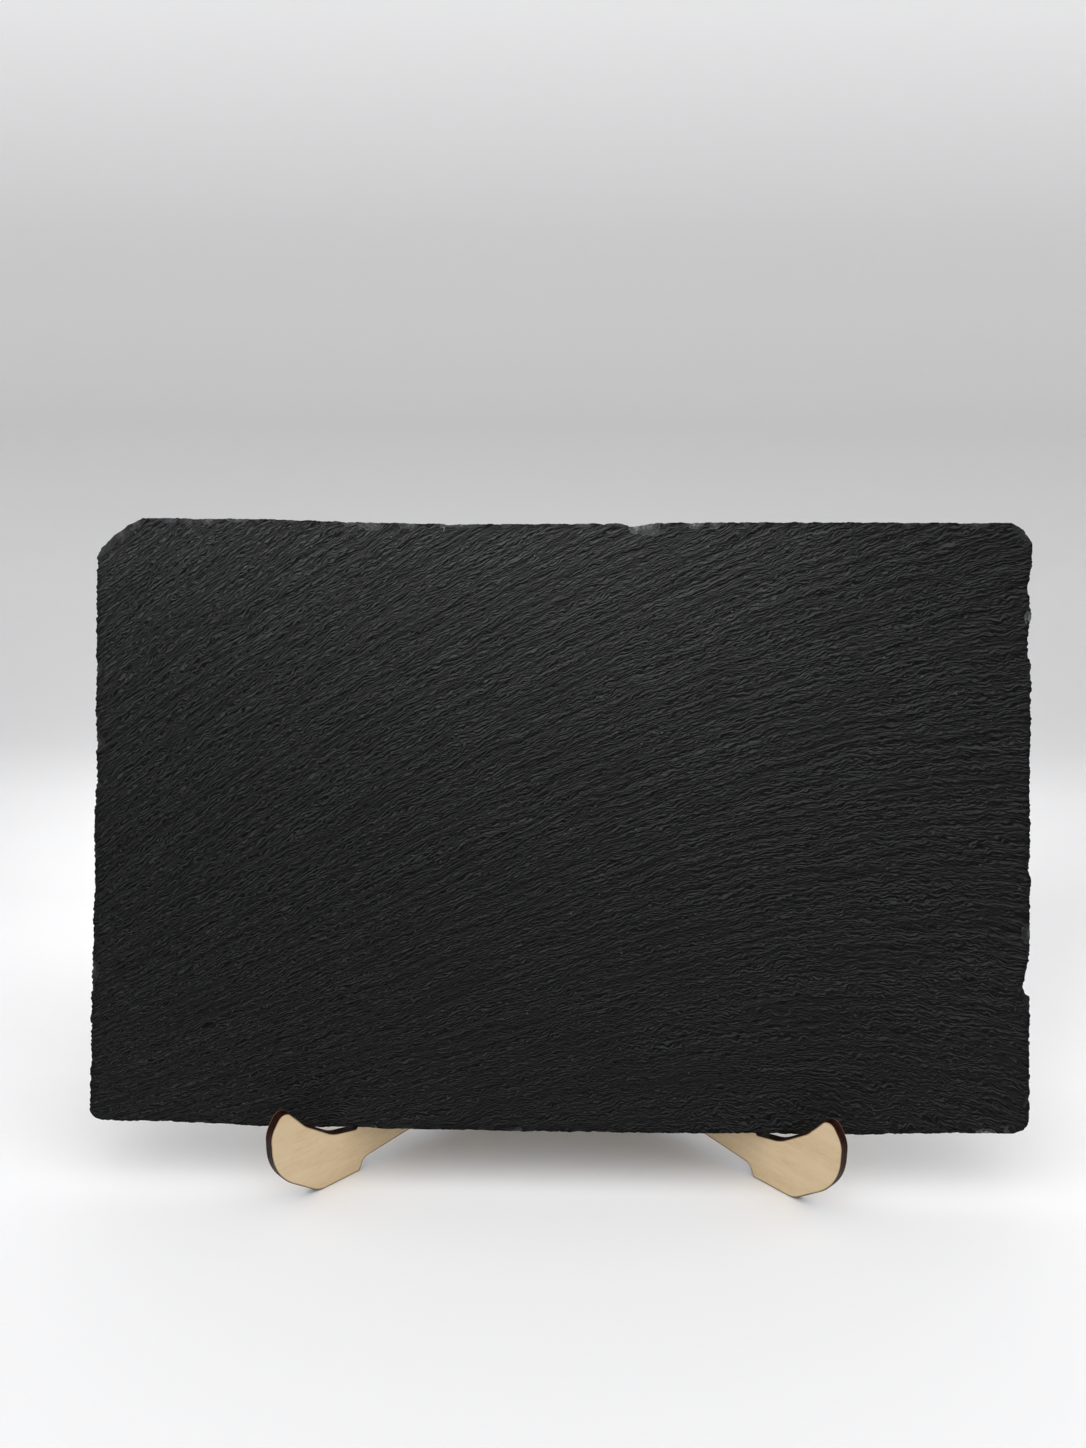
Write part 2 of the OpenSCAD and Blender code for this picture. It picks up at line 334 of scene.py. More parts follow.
class Bench:
    """Node work that the finishes share: one material, its shader and short ways to add nodes."""

    def __init__(self, name: str) -> None:
        """Starts a material.

        Args:
            name: Name of the material.
        """
        self.material = bpy.data.materials.new(name)
        self.material.use_nodes = True
        self.tree = self.material.node_tree
        self.tree.nodes.clear()
        self.shader = self.add("ShaderNodeBsdfPrincipled", {})
        self.add("ShaderNodeOutputMaterial", {"Surface": self.shader.outputs["BSDF"]})

    def fill(self, node: bpy.types.Node, values: dict) -> bpy.types.Node:
        """Sets a node's inputs.

        Args:
            node: The node.
            values: What each input holds: a socket to link from, or a constant.

        Returns:
            The same node.
        """
        for key, value in values.items():
            if isinstance(value, Socket):
                self.tree.links.new(value, node.inputs[key])
            else:
                node.inputs[key].default_value = value
        return node

    def add(self, kind: str, values: dict, **settings: object) -> bpy.types.Node:
        """Adds a node.

        Args:
            kind: Blender's name for the node.
            values: What each input holds.
            settings: Attributes of the node.

        Returns:
            The node.
        """
        node = self.tree.nodes.new(kind)
        for name, value in settings.items():
            setattr(node, name, value)
        return self.fill(node, values)

    def uv(self, layer: str) -> Socket:
        """Gives the coordinates of a UV map."""
        return self.add("ShaderNodeUVMap", {}, uv_map=layer).outputs["UV"]

    def weight(self, name: str) -> Socket:
        """Gives a float attribute of the mesh."""
        return self.add("ShaderNodeAttribute", {}, attribute_name=name).outputs["Fac"]

    def object_place(self) -> Socket:
        """Gives the place on the object, in metres."""
        return self.add("ShaderNodeTexCoord", {}).outputs["Object"]

    def cells(self, vector: Socket, cell: Pair) -> Socket:
        """Turns coordinates of a UV map into cells of a size in millimetres."""
        scale = (UV_MM / cell[0], UV_MM / cell[1], 1.0)
        return self.add("ShaderNodeMapping", {"Vector": vector, "Scale": scale}).outputs["Vector"]

    def noise(
        self, vector: Socket, scale: float, detail: float = 2.0, rough: float = 0.5, swirl: Value = 0.0
    ) -> Socket:
        """Adds a noise from 0 to 1, by cells per unit, octaves, their share and its own warp."""
        values = {"Vector": vector, "Scale": scale, "Detail": detail, "Roughness": rough, "Distortion": swirl}
        return self.add("ShaderNodeTexNoise", values).outputs["Fac"]

    def woven(self, vector: Socket, weave: Weave) -> Socket:
        """Adds a finish's noise on the coordinates of a UV map."""
        return self.noise(self.cells(vector, weave.cell), 1.0, weave.detail, weave.rough, weave.swirl)

    def vector(self, operation: str, a: Socket, b: Socket | Colour) -> Socket:
        """Adds a sum or the like of two vectors."""
        return self.add("ShaderNodeVectorMath", {0: a, 1: b}, operation=operation).outputs["Vector"]

    def warped(self, vector: Socket, cell: Pair, reach: Socket) -> Socket:
        """Pushes coordinates about, so that straight lines waver.

        Args:
            vector: The coordinates.
            cell: Cell of the waver along and across.
            reach: How far a point may move to either side, in units of the coordinates.

        Returns:
            The moved coordinates.
        """
        values = {"Vector": self.cells(vector, cell), "Scale": 1.0, "Detail": 1.0}
        waver = self.add("ShaderNodeTexNoise", values).outputs["Color"]
        values = {0: self.vector("SUBTRACT", waver, (0.5, 0.5, 0.5)), "Scale": self.times(reach, 2.0)}
        step = self.add("ShaderNodeVectorMath", values, operation="SCALE").outputs["Vector"]
        return self.vector("ADD", vector, step)

    def math(self, operation: str, a: Value, b: Value) -> Socket:
        """Adds a sum, product or the like of two values."""
        return self.add("ShaderNodeMath", {0: a, 1: b}, operation=operation).outputs["Value"]

    def plus(self, a: Value, b: Value) -> Socket:
        """Adds two values."""
        return self.math("ADD", a, b)

    def times(self, a: Value, b: Value) -> Socket:
        """Multiplies two values."""
        return self.math("MULTIPLY", a, b)

    def rest(self, share: Value) -> Socket:
        """Gives what a share leaves of 1."""
        return self.math("SUBTRACT", 1.0, share)

    def remap(
        self, value: Socket, low: float, high: float, to_low: float = 0.0, to_high: float = 1.0
    ) -> Socket:
        """Maps the range from low to high onto another and stops at its ends."""
        values = {"Value": value, "From Min": low, "From Max": high, "To Min": to_low, "To Max": to_high}
        return self.add("ShaderNodeMapRange", values, clamp=True).outputs["Result"]

    def ramp(self, value: Socket, *stops: Stop) -> Socket:
        """Turns a value into a colour.

        Args:
            value: Value from 0 to 1.
            stops: Places and their colours.

        Returns:
            The colour.
        """
        node = self.add("ShaderNodeValToRGB", {"Fac": value})
        elements = node.color_ramp.elements
        while len(elements) < len(stops):
            elements.new(1.0)
        for element, (spot, colour) in zip(elements, stops):
            element.position = spot
            element.color = (*colour, 1.0)
        return node.outputs["Color"]

    def mix(self, share: Socket, colour: Socket, over: Colour) -> Socket:
        """Lays a share of a plain colour over another colour."""
        values = {0: share, 6: colour, 7: (*over, 1.0)}
        return self.add("ShaderNodeMix", values, data_type="RGBA", blend_type="MIX").outputs[2]

    def bump(self, height: Socket, depth: float, over: Socket | None = None) -> Socket:
        """Turns a height into a relief.

        Args:
            height: Height from 0 to 1.
            depth: What a height of 1 is, in millimetres.
            over: Relief that this one lies on.

        Returns:
            The normal.
        """
        values = {"Height": height, "Distance": depth * MM, "Strength": 1.0}
        if over is not None:
            values["Normal"] = over
        return self.add("ShaderNodeBump", values).outputs["Normal"]

    def dress(self, colour: Socket, rough: Socket, sheen: float, relief: Socket) -> Material:
        """Gives the shader its colour, roughness, sheen and relief, and hands out the material."""
        self.fill(
            self.shader,
            {"Base Color": colour, "Roughness": rough, "Specular IOR Level": sheen, "Normal": relief},
        )
        return self.material


@dataclass(frozen=True)
class RivenStone:
    """Split slate: short wavy threads along the cleavage, with painted light on each: its upper side
    painted pale as a highlight, and its lower side painted dark as shade.

    A cell is a pair of lengths, along the threads and across them. A scale is in cells per metre. A span
    is the range of a value over which what is named like it comes in.
    """

    # Ramp of the painted light: a painted shade, two tones of the stone, then a painted highlight.
    painted_shade: Stop = (0.20, (0.0014, 0.0015, 0.0015))
    low: Stop = (0.40, (0.0079, 0.0081, 0.0081))
    high: Stop = (0.64, (0.0102, 0.0104, 0.0105))
    painted_highlight: Stop = (1.0, (0.0310, 0.0318, 0.0325))
    # Pale colour of freshly broken stone, also used for the painted highlights on chips and the painted
    # glints.
    fresh_and_glint: Colour = (0.250, 0.256, 0.260)
    thread: Pair = (4.4, 0.74)
    thread_lip: float = 0.24
    hair: Pair = (1.7, 0.42)
    hair_lip: float = 0.14
    hair_share: float = 0.95
    streak: Pair = (30.0, 2.3)
    streak_lip: float = 0.65
    streak_share: float = 0.46
    waver: Pair = (3.6, 1.9)
    waver_reach: Pair = (0.8, 1.5)
    swirl: Pair = (0.05, 0.22)
    band: Weave = Weave((40.0, 7.0))
    band_span: Pair = (0.35, 0.65)
    band_gain: Pair = (0.72, 1.45)
    curl_gain: float = 1.4
    foot_calm: float = 0.4
    painted_light_drop: float = 0.20
    # Painted glints: strength, cells per metre and span of the bright specks.
    glint: float = 0.175
    glint_scale: float = 1100.0
    glint_span: Pair = (0.83, 0.87)
    ragged: float = 0.10
    ragged_scale: float = 800.0
    shell: float = 0.55
    shell_rim: float = 0.06
    shell_highlight: float = 0.75
    shell_highlight_span: Pair = (0.08, 0.20)
    shell_core: Pair = (0.25, 1.0)
    shell_core_span: Pair = (0.35, 0.90)
    mottle: Pair = (0.35, 1.30)
    mottle_scale: float = 1300.0
    mottle_span: Pair = (0.40, 0.62)
    arris: Pair = (0.55, 1.0)
    arris_span: Pair = (0.35, 0.6)
    relief: float = 0.66
    grain: float = 0.03
    grain_scale: float = 4200.0
    grain_rough: float = 0.6
    rough: Pair = (0.62, 0.46)
    fresh_rough: float = 0.2
    arris_rough: float = 0.5
    sheen: float = 0.095

    def painted_lit_threads(self, b: Bench, flow: Socket, cell: Pair, lip: float, swirl: Value) -> tuple[Socket, Socket]:
        """Makes threads of one size, and the drop of their height up each thread, painted as light and shade.

        Args:
            b: The bench.
            flow: Coordinates along and across the threads.
            cell: Length and width of a thread.
            lip: How far across a thread its lip reaches.
            swirl: How far the threads curl.

        Returns:
            Height of the threads, and how far it drops within a lip, to be painted as highlight and shade.
        """
        above = b.vector("ADD", flow, (0.0, lip / UV_MM, 0.0))
        height, beyond = (b.noise(b.cells(spot, cell), 1.0, 1.0, swirl=swirl) for spot in (flow, above))
        return height, b.math("SUBTRACT", height, beyond)

    def material(self) -> Material:
        """Builds the node material.

        Returns:
            The material.
        """
        b = Bench("riven_slate")
        spot, flow, curl = b.object_place(), b.uv("flow"), b.weight("curl")
        swirl = b.remap(curl, 0.0, 1.0, *self.swirl)
        reach = b.remap(curl, 0.0, 1.0, *(far / UV_MM for far in self.waver_reach))
        wavy = b.warped(flow, self.waver, reach)
        thread, thread_painted_light = self.painted_lit_threads(b, wavy, self.thread, self.thread_lip, swirl)
        hair, hair_painted_light = self.painted_lit_threads(b, wavy, self.hair, self.hair_lip, swirl)
        streak, streak_painted_light = self.painted_lit_threads(b, flow, self.streak, self.streak_lip, 0.0)
        broad = b.remap(b.weight("calm"), 0.0, 1.0, 1.0, self.foot_calm)
        fold = b.times(broad, self.streak_share)
        # Painted light: the drop up each thread, scaled by the bands, the curl and the calm foot, is painted
        # pale as a highlight on each thread's upper side and dark as shade on its lower side.
        painted_light = b.plus(b.times(thread_painted_light, broad), b.times(hair_painted_light, self.hair_share))
        painted_light = b.times(painted_light, b.remap(b.woven(flow, self.band), *self.band_span, *self.band_gain))
        painted_light = b.times(painted_light, b.remap(curl, 0.0, 1.0, 1.0, self.curl_gain))
        painted_light = b.plus(painted_light, b.times(streak_painted_light, fold))
        tone = b.remap(painted_light, -self.painted_light_drop, self.painted_light_drop)
        colour = b.ramp(tone, self.painted_shade, self.low, self.high, self.painted_highlight)

        tear = b.remap(b.noise(spot, self.ragged_scale), *NOISE_SPAN, -self.ragged, self.ragged)
        flake = b.plus(b.weight("chip"), tear)
        inside = b.remap(flake, 0.0, self.shell_rim)
        colour = b.mix(inside, colour, self.low[1])
        # Chips: paler inside as broken stone, with a pale line round each chip's edge and a brighter core
        # that are partly painted highlight; the mottle breaks them into flecks.
        line = b.times(inside, b.remap(flake, *self.shell_highlight_span, self.shell_highlight, 0.0))
        core = b.times(inside, b.remap(flake, *self.shell_core_span, *self.shell_core))
        mottle = b.remap(b.noise(spot, self.mottle_scale), *self.mottle_span, *self.mottle)
        broken = b.times(b.weight("fresh_and_glint"), b.times(b.math("MAXIMUM", line, core), mottle))
        # Painted glints: scattered bright specks of the pale colour, standing in for sparkle.
        painted_glints = b.times(b.remap(b.noise(spot, self.glint_scale, 0.0), *self.glint_span), self.glint)
        colour = b.mix(b.math("MAXIMUM", painted_glints, broken), colour, self.fresh_and_glint)
        # Painted shade: the front rim is darkened with the shade colour where the broken edge lies in shade,
        # but not on the chips.
        shade = b.times(b.weight("arris"), b.remap(hair, *self.arris_span, *self.arris))
        shade = b.times(shade, b.rest(inside))
        colour = b.mix(shade, colour, self.painted_shade[1])

        height = b.plus(thread, b.times(hair, self.hair_share * self.hair[1] / self.thread[1]))
        height = b.plus(height, b.times(streak, b.times(fold, self.streak[1] / self.thread[1])))
        height = b.times(height, b.rest(b.times(inside, self.shell)))
        grain = b.noise(spot, self.grain_scale, rough=self.grain_rough)
        relief = b.bump(grain, self.grain, b.bump(height, self.relief))
        rough = b.remap(thread, *NOISE_SPAN, *self.rough)
        rough = b.plus(rough, b.plus(b.times(broken, self.fresh_rough), b.times(shade, self.arris_rough)))
        return b.dress(colour, rough, self.sheen, relief)


@dataclass(frozen=True)
class BirchVeneer:
    """Bare sanded birch face: pale, faint fine grain along the leg, few short pores, scorched at the cut."""

    deep: Stop = (0.36, (0.670, 0.490, 0.285))
    mid: Stop = (0.50, (0.735, 0.565, 0.350))
    light: Stop = (0.62, (0.770, 0.610, 0.400))
    pore: Colour = (0.330, 0.200, 0.095)
    scorch: Colour = (0.085, 0.038, 0.011)
    band: Weave = Weave((60.0, 6.0), 3.0, 0.55, 0.6)
    band_share: float = 0.45
    curl: Weave = Weave((7.0, 3.0), 3.0, 0.6, 1.2)
    curl_share: float = 0.3
    line: Weave = Weave((18.0, 0.45), 3.0, 0.6, 0.2)
    line_share: float = 0.25
    fleck: Weave = Weave((1.6, 0.35), 1.0)
    fleck_span: Pair = (0.72, 0.80)
    fleck_share: float = 0.5
    smoke: Weave = Weave((6.0, 6.0))
    burn: Pair = (0.80, 1.1)
    relief: float = 0.04
    rough: Pair = (0.52, 0.66)
    sheen: float = 0.30

    def material(self) -> Material:
        """Builds the node material.

        Returns:
            The material.
        """
        b = Bench("birch_veneer")
        sheet = b.uv("sheet")
        band, curl, line = (b.woven(sheet, weave) for weave in (self.band, self.curl, self.line))
        figure = b.plus(b.times(band, self.band_share), b.times(curl, self.curl_share))
        tone = b.plus(figure, b.times(line, self.line_share))
        colour = b.ramp(tone, self.deep, self.mid, self.light)
        pores = b.remap(b.woven(sheet, self.fleck), *self.fleck_span)
        colour = b.mix(b.times(pores, self.fleck_share), colour, self.pore)
        burn = b.times(b.weight("scorch"), b.remap(b.woven(sheet, self.smoke), *NOISE_SPAN, *self.burn))
        colour = b.mix(burn, colour, self.scorch)
        relief = b.bump(pores, -self.relief, b.bump(line, self.relief))
        return b.dress(colour, b.remap(line, *NOISE_SPAN, *self.rough), self.sheen, relief)


@dataclass(frozen=True)
class BurntEdge:
    """Burnt cut edge of the plywood: black char, red-brown streaks across the sheet, a tan far arris."""

    char: Stop = (0.40, (0.0035, 0.0013, 0.0010))
    brown: Stop = (0.64, (0.036, 0.0080, 0.0030))
    tan: Colour = (0.360, 0.220, 0.115)
    streak: Weave = Weave((0.5, 9.0), 2.0, 0.6)
    streak_relief: float = 0.06
    patch: Weave = Weave((14.0, 5.0))
    grain: Weave = Weave((0.3, 0.3), 2.0, 0.6)
    grain_relief: float = 0.02
    rough: Pair = (0.34, 0.50)
    sheen: float = 0.06

    def material(self) -> Material:
        """Builds the node material.

        Returns:
            The material.
        """
        b = Bench("burnt_edge")
        cut = b.uv("sheet")
        streak, patch, grain = (b.woven(cut, weave) for weave in (self.streak, self.patch, self.grain))
        colour = b.ramp(b.times(b.plus(streak, patch), 0.5), self.char, self.brown)
        colour = b.mix(b.weight("bare"), colour, self.tan)
        relief = b.bump(grain, self.grain_relief, b.bump(streak, self.streak_relief))
        return b.dress(colour, b.remap(streak, *NOISE_SPAN, *self.rough), self.sheen, relief)


@dataclass(frozen=True)
class SoftRubber:
    """Matt black rubber of the stick-on pads, a little dusty, with fine grain."""

    black: Stop = (0.40, (0.016, 0.016, 0.017))
    dusty: Stop = (0.75, (0.045, 0.045, 0.044))
    dust_scale: float = 420.0
    grain_scale: float = 3600.0
    octave_share: float = 0.6
    relief: float = 0.05
    rough: Pair = (0.62, 0.8)
    sheen: float = 0.35

    def material(self) -> Material:
        """Builds the node material.

        Returns:
            The material.
        """
        b = Bench("pad_rubber")
        spot = b.object_place()
        dust = b.noise(spot, self.dust_scale, 3.0, self.octave_share)
        relief = b.bump(b.noise(spot, self.grain_scale, 2.0, self.octave_share), self.relief)
        rough = b.remap(dust, *NOISE_SPAN, *self.rough)
        return b.dress(b.ramp(dust, self.black, self.dusty), rough, self.sheen, relief)


@dataclass(frozen=True)
class PaperSweep:
    """White paper of the studio sweep, with painted shade: grey where it bends up, and painted light: paler
    again above.

    The tone table gives the paper's painted grey at shares of its length, from `tone_start` to `tone_end`
    metres along it.
    """

    tone_start: float = 2.42
    tone_end: float = 3.66
    painted_shade_tones: tuple[Pair, ...] = (
        (0.000, 0.93),
        (0.045, 0.83),
        (0.130, 0.70),
        (0.250, 0.69),
        (0.330, 0.62),
        (0.550, 0.635),
        (0.685, 0.56),
        (0.806, 0.665),
        (0.903, 0.75),
        (0.968, 0.80),
        (1.000, 0.82),
    )
    cool: float = 1.01
    tooth_scale: float = 900.0
    relief: float = 0.01
    rough: Pair = (0.75, 0.9)
    sheen: float = 0.1

    def material(self) -> Material:
        """Builds the node material.

        Returns:
            The material.
        """
        b = Bench("studio_paper")
        run = b.add("ShaderNodeSeparateXYZ", {"Vector": b.uv("roll")}).outputs["Y"]
        # Painted shade and light: the paper's grey follows its run along the roll.
        share = b.remap(b.times(run, UV_MM * MM), self.tone_start, self.tone_end)
        colour = b.ramp(share, *((spot, (grey, grey, grey * self.cool)) for spot, grey in self.painted_shade_tones))
        tooth = b.noise(b.object_place(), self.tooth_scale)
        rough = b.remap(tooth, *NOISE_SPAN, *self.rough)
        return b.dress(colour, rough, self.sheen, b.bump(tooth, self.relief))


@dataclass(frozen=True)
class Cleavage:
    """Lie of the ripples on the split face: steep at the left, level at the right, loose near the foot.

    The lines are level lines of `across`. Slopes are rise over run, and change evenly along the slate.
    """

    width: float
    height: float
    mid_slope: float = 0.43
    slope_drop: float = 0.0030
    top_lift: float = 0.104
    top_lift_gain: float = 0.0009
    bow: float = -0.16
    bow_gain: float = 0.0015
    shear: float = 0.4
    waver: float = 0.9
    foot_waver: float = 0.8
    foot_h: float = 45.0
    wide: Swell = Swell(11, 1.0, (22.0, 12.0))
    tight: Swell = Swell(12, 0.45, (7.0, 4.0))
    drift: Swell = Swell(13, 4.0, (30.0, 9.0))
    swells: tuple[Swell, ...] = (
        Swell(21, 0.16, (85.0, 20.0)),
        Swell(23, 0.15, (24.0, 4.4)),
        Swell(24, 0.10, (10.0, 2.6)),
    )
    step: Swell = Swell(22, 5.0, (70.0, 13.0))
    step_h: float = 0.10

    def lines(self, s: Array, t: Array) -> tuple[Array, Array]:
        """Finds the place of points along and across the ripples.

        Args:
            s: Distance along the slate.
            t: Distance up the slate.

        Returns:
            Distance along the ripples and distance across them.
        """
        x = s - self.width / 2.0
        rise = (t - self.height / 2.0) / (self.height / 2.0)
        run = self.mid_slope * x - self.slope_drop * x**2 / 2.0
        lift = self.top_lift * x + self.top_lift_gain * x**2 / 2.0
        bend = self.bow * x + self.bow_gain * x**2 / 2.0
        along = x + self.shear * t
        across = t - run - lift * rise - bend * np.minimum(rise, 0.0) ** 2
        loose = self.waver + self.foot_waver * smooth(t, self.foot_h, 0.0)
        across = across + loose * (self.wide.at(along, across) + self.tight.at(along, across))
        return along + self.drift.at(along, across), across

    def relief(self, along: Array, across: Array) -> Array:
        """Gives the height of the split face, about zero, at places along and across the ripples."""
        step = self.step_h * np.tanh(self.step.at(along, across))
        return step + sum(swell.at(along, across) for swell in self.swells)


@dataclass(frozen=True)
class Chip:
    """Shell-shaped flake off the front arris.

    `place` is along the edge, `half` is half its width, `reach` how far it runs in, `depth` how deep
    it is at the edge, and the last how pale its face is: paler as broken stone, and partly a painted
    highlight.
    """

    edge: Edge
    place: float
    half: float
    reach: float
    depth: float
    fresh_and_glint: float


@dataclass
class Slate:
    """The slab: split faces, chipped arrises and a layered broken edge all round.

    A row of `ragged` or `teeth` is a length along the edge and a depth. `fray_out` follows the order of
    SIDES, and the limits of a small chip follow the order of a chip's sizes.
    """

    node: str = "slate"
    cell: float = 0.95
    rim_cell: float = 0.4
    rim_growth: float = 1.2
    outline_step: float = 0.15
    cross_weight: float = 0.2
    corner_pivot: float = 30.0
    corner_swell: float = 0.9
    corner_half: float = 5.4
    notch: tuple[float, ...] = (46.0, 47.3, 48.5, 54.0)
    notch_depth: float = 1.3
    ragged: tuple[Pair, ...] = ((7.0, 0.25), (2.4, 0.35))
    ragged_seed: int = 71
    ragged_row: float = 100.0
    fray_end: float = 4.0
    fray_out: tuple[float, ...] = (0.25, 0.35, 0.15, 0.15)

    face_depth: float = 0.34
    face_skin: float = 0.03
    least_share: float = 0.45
    wear: float = 0.10
    wear_reach: float = 0.5
    arris_reach: float = 0.8
    foot_h: float = 110.0
    foot_curl: float = 0.2
    curl_start: float = 190.0
    left_lively: float = 0.8
    back_depth: float = 0.25
    back_skin: float = 0.02
    back_share: float = 0.7
    back_shift: Pair = (400.0, 150.0)
    pad_flat: float = 7.0
    pad_fade: float = 1.7

    wall_rings: int = 7
    wall_stretch: float = 3.0
    rim_band: float = 20.0
    flake: float = 0.30
    flake_most: float = 1.3
    layer_seed: int = 40
    layer_cell: float = 4.5
    rough_seed: int = 60
    rough_cell: float = 1.6
    rough_share: float = 0.35
    edge_fade: float = 3.0
    sharp: float = 40.0

    teeth: tuple[Pair, ...] = ((3.4, 0.22), (1.3, 0.20), (0.7, 0.14))
    tooth_seed: int = 72
    tooth_rows: Pair = (3.0, 11.0)
    tooth_row_gap: float = 7.3
    tooth_side: float = 0.6
    tooth_top: float = 0.22
    tooth_cuts: int = 2
    tooth_steep: float = 5.0

    chip_far: float = -1.0
    chip_search: float = 1.0
    chip_round: float = 0.7
    chip_waver: tuple[Swell, ...] = (Swell(31, 0.5, (1.7, 1.7)), Swell(32, 0.5, (1.7, 1.7)))
    small_chip_pitch: float = 6.5
    small_chip_margin: float = 8.0
    small_chip_jitter: float = 0.4
    small_chip_least: tuple[float, ...] = (0.7, 0.5, 0.2, 0.0)
    small_chip_most: tuple[float, ...] = (2.6, 1.5, 0.8, 0.125)
    small_chip_seed: int = 5

    CHIPS = {
        Edge.TOP: (
            (173.7, 2.1, 2.7, 1.5, 0.5),
            (177.4, 5.2, 4.0, 1.5, 0.25),
            (193.75, 2.8, 2.2, 1.0, 0.375),
            (199.25, 2.2, 2.4, 0.9, 0.225),
            (157.75, 1.4, 1.2, 0.7, 0.25),
            (118.75, 7.0, 1.3, 0.8, 0.175),
            (113.1, 0.7, 2.4, 0.5, 0.45),
            (101.7, 3.7, 2.2, 0.9, 0.18),
            (89.8, 4.4, 2.9, 0.9, 0.23),
            (81.6, 2.6, 1.3, 0.7, 0.25),
            (46.75, 3.8, 1.4, 0.8, 0.275),
            (37.25, 2.2, 2.2, 0.9, 0.3),
            (30.75, 1.8, 2.6, 0.9, 0.175),
            (23.25, 2.8, 1.8, 0.8, 0.225),
            (285.25, 3.6, 1.8, 0.9, 0.15),
        ),
        Edge.TOP_LEFT: (
            (-8.0, 2.8, 2.2, 1.0, 0.13),
            (-3.0, 4.0, 2.8, 1.5, 0.11),
            (3.0, 3.4, 3.2, 1.6, 0.14),
            (8.5, 2.8, 2.2, 1.0, 0.11),
        ),
        Edge.TOP_RIGHT: ((-2.0, 3.0, 2.6, 1.4, 0.1), (2.5, 3.4, 2.4, 1.4, 0.13)),
        Edge.RIGHT: (
            (166.5, 2.2, 2.6, 0.5, 0.9),
            (65.5, 3.4, 2.8, 0.6, 0.21),
            (45.0, 3.0, 2.0, 0.8, 0.06),
        ),
        Edge.BOTTOM: (
            (288.0, 3.6, 1.7, 0.2, 0.75),
            (293.7, 1.0, 2.6, 0.2, 0.65),
            (138.25, 1.6, 1.4, 0.2, 0.45),
            (91.75, 1.6, 1.4, 0.2, 0.45),
        ),
        Edge.LEFT: (
            (51.0, 4.2, 2.4, 0.6, 0.18),
            (124.0, 3.2, 2.6, 0.6, 0.17),
            (148.0, 2.2, 2.0, 0.6, 0.17),
        ),
    }

    def __post_init__(self) -> None:
        """Reads the slab's axes and outlines from the frame."""
        self.sheet = Sheet.of(self.node)
        self.box = self.sheet.size[:2]
        self.thick = float(self.sheet.size[2])
        self.front = face_outline(self.node, self.sheet, self.thick)
        self.back = face_outline(self.node, self.sheet, 0.0)
        self.cleavage = Cleavage(float(self.box[0]), float(self.box[1]))

    def shares(self, length: float) -> Array:
        """Spaces the grid lines along a side, closer near its ends.

        Args:
            length: Length of the side.

        Returns:
            Shares of the length, from 0 to 1, an even number of steps.
        """
        rim = []
        step = self.rim_cell
        while step < self.cell:
            rim.append(step)
            step *= self.rim_growth
        inner = length - 2.0 * sum(rim)
        count = 2 * round(inner / self.cell / 2.0)
        steps = np.array(rim + [inner / count] * count + rim[::-1])
        return np.concatenate([[0.0], np.cumsum(steps)]) / length

    def runs(self, loop: Array) -> list[Array]:
        """Swells the top right corner of an outline and cuts the outline at its four corners.

        Args:
            loop: Outline, counter-clockwise.

        Returns:
            Its bottom, right, top and left runs.
        """
        closed = np.concatenate([loop, loop[:1]])
        count = int(np.abs(np.diff(closed, axis=0)).sum() / self.outline_step)
        fine = spaced(closed, np.linspace(0.0, 1.0, count), (1.0, 1.0))[:-1]
        share, along, inward = Edge.TOP_RIGHT.ways
        away = fine - share * self.box
        swell = np.clip(1.0 - (away @ along / self.corner_half) ** 2, 0.0, 1.0)
        swell *= self.corner_swell * (away @ inward < 2.0 * self.corner_half)
        fine = fine - inward * swell[:, None]
        low, high = fine.min(axis=0), fine.max(axis=0)
        cuts = []
        for share in np.array([(0, 0), (1, 0), (1, 1), (0, 1)]):
            outward = 2.0 * share - 1.0
            away = fine - np.where(share > 0, high, low) + outward * self.corner_pivot
            cuts.append(int(np.argmax(away @ outward / np.linalg.norm(away, axis=1))))
        found = []
        for start, end in zip(cuts, cuts[1:] + cuts[:1]):
            stop = end if end > start else end + len(fine)
            found.append(fine[np.arange(start, stop + 1) % len(fine)])
        return found

    def grid(self, loop: Array, across: Array, up: Array, spare: float) -> Array:
        """Fills an outline with a grid whose rim follows it.

        Args:
            loop: Outline, counter-clockwise.
            across: Shares of the grid lines along the slate.
            up: Shares of the grid lines up the slate.
            spare: Share of `fray_out` by which the rim is moved out.

        Returns:
            Points (up line, across line, 2).
        """
        bottom, right, top, left = self.runs(loop)
        flat, steep = (1.0, self.cross_weight), (self.cross_weight, 1.0)
        low, high = spaced(bottom, across, flat), spaced(top[::-1], across, flat)
        west, east = spaced(left[::-1], up, steep), spaced(right, up, steep)
        for edge, run, out in zip(SIDES, (low, east, high, west), self.fray_out):
            self.fray(edge, run, spare * out)
        u, v = across[None, :, None], up[:, None, None]
        edges = (1 - v) * low[None] + v * high[None] + (1 - u) * west[:, None] + u * east[:, None]
        foot = (1 - u) * low[0] + u * low[-1]
        head = (1 - u) * high[0] + u * high[-1]
        return edges - (1 - v) * foot - v * head

